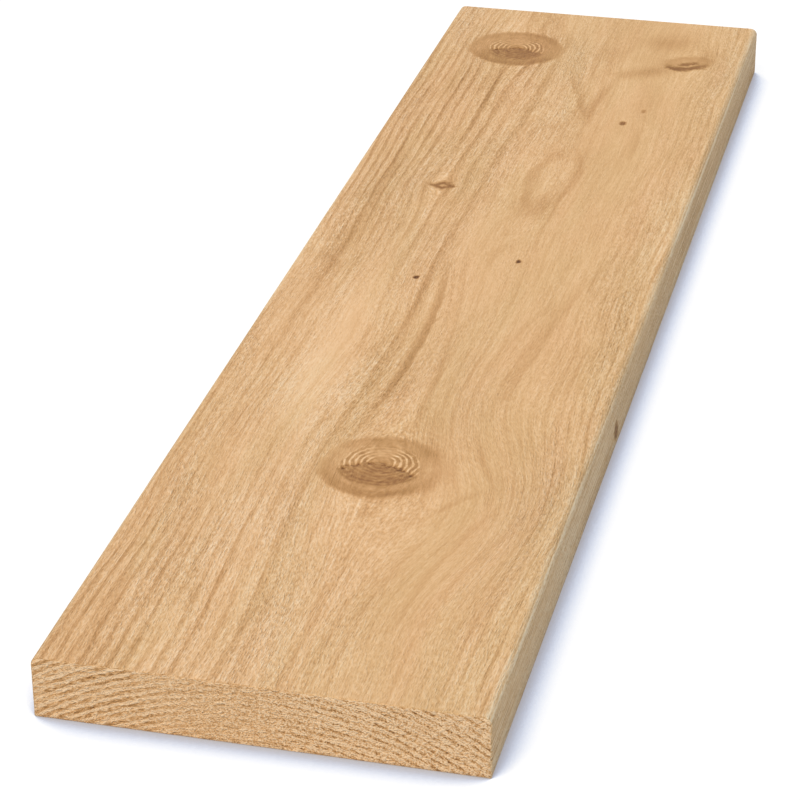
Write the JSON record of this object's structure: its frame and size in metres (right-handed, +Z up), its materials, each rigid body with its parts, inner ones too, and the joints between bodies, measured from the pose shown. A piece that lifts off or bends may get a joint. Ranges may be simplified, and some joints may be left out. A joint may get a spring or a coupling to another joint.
{
  "type": "timber plank",
  "caption": "Flat softwood board with rounded upper edges and square sawn ends, for shelving, cladding and general joinery.",
  "frame": {"origin": "middle of the underside of the board, where it rests on a level floor", "axes": "+X across the width, +Y along the grain from the near end to the far end, +Z up through the thickness to the better face"},
  "size_m": [0.145, 0.6, 0.022],
  "materials": {
    "softwood": "matte"
  },
  "bodies": {
    "root": {"plank": "softwood"}
  },
  "joints": []
}
